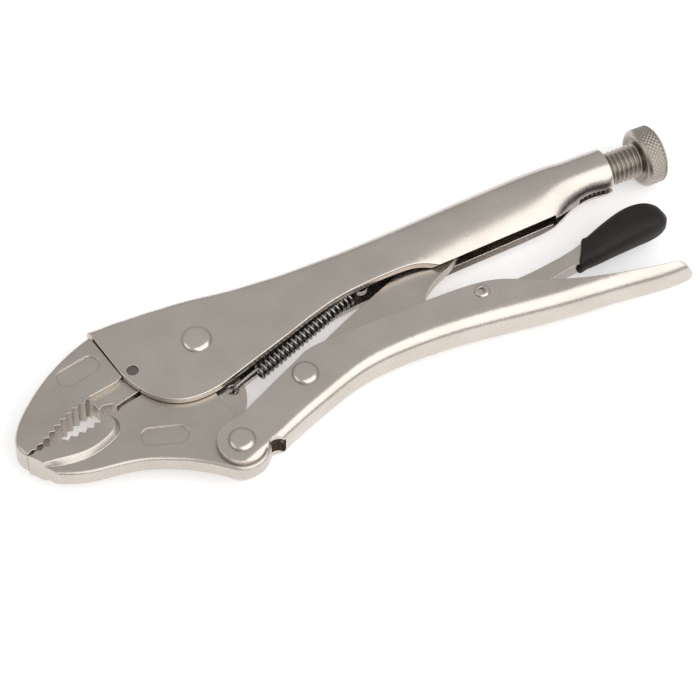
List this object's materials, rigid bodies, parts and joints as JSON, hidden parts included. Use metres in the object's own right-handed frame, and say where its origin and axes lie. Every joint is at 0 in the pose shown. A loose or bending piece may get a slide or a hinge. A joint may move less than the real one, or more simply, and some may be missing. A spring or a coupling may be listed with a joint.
{
  "type": "locking pliers",
  "caption": "Curved-jaw locking pliers with a sheet-metal toggle lever, release lever with a dipped grip, return spring and knurled adjusting screw.",
  "frame": {"origin": "centre of the bounding box's bottom face, with the tool lying on its side", "axes": "+X from the jaws to the adjusting knob, +Y from the lever to the fixed handle, +Z along the rivets, up when the tool lies on its side"},
  "size_m": [0.248, 0.0706, 0.0206],
  "materials": {
    "satin_nickel": "satin nickel plate on folded sheet, fine even grain",
    "forged_nickel": "satin nickel plate on a forging, slightly duller",
    "rivet_nickel": "plated rivet head, smoother than the sheet",
    "spring_steel": "dark plated spring wire",
    "screw_steel": "dull warm grey plating on thread and knurl",
    "black_vinyl": "satin black dipped vinyl"
  },
  "bodies": {
    "fixed_handle": {"fixed_handle": "satin_nickel", "upper_jaw": "forged_nickel", "jaw_lock_pin": "rivet_nickel", "jaw_pivot_rivet": "rivet_nickel", "return_spring": "spring_steel"},
    "lower_jaw": {"lower_jaw": "forged_nickel"},
    "lever_handle": {"lever_handle": "satin_nickel", "handle_rivet": "rivet_nickel", "link_rivet": "rivet_nickel", "release_rivet": "rivet_nickel"},
    "toggle_link": {"toggle_link": "satin_nickel"},
    "release_lever": {"release_lever": "satin_nickel", "release_grip": "black_vinyl"},
    "adjusting_screw": {"adjusting_screw": "screw_steel"},
    "adjusting_knob": {"adjusting_knob": "screw_steel"}
  },
  "joints": [
    {"name": "jaw_pivot", "type": "hinge", "parent": "fixed_handle", "child": "lower_jaw", "pos_m": [-0.05525, 0.01545, 0.0103], "axis": [0, 0, 1], "range_deg": [0, 20], "deforming": ["return_spring"]},
    {"name": "handle_pivot", "type": "hinge", "parent": "lower_jaw", "child": "lever_handle", "pos_m": [-0.05765, -0.02575, 0.0103], "axis": [0, 0, 1], "range_deg": [-62.4, 0]},
    {"name": "link_pivot", "type": "hinge", "parent": "lever_handle", "child": "toggle_link", "pos_m": [-0.02835, -0.01115, 0.0103], "axis": [0, 0, 1], "range_deg": [0, 61.6]},
    {"name": "release_pivot", "type": "hinge", "parent": "lever_handle", "child": "release_lever", "pos_m": [0.03875, -0.00675, 0.0103], "axis": [0, 0, 1], "range_deg": [-7, 0]},
    {"name": "screw_travel", "type": "slide", "parent": "fixed_handle", "child": "adjusting_screw", "axis": [1, 0, 0], "range_m": [0, 0.014]},
    {"name": "screw_turn", "type": "hinge", "parent": "adjusting_screw", "child": "adjusting_knob", "pos_m": [0.11975, 0.02505, 0.0103], "axis": [1, 0, 0], "range_deg": [0, 2880]}
  ],
  "couplings": [
    {"joint": "handle_pivot", "follows": "jaw_pivot", "ratio": -3.12},
    {"joint": "link_pivot", "follows": "jaw_pivot", "ratio": 3.08},
    {"joint": "screw_turn", "follows": "screw_travel", "rad_per_m": 3590.4}
  ]
}
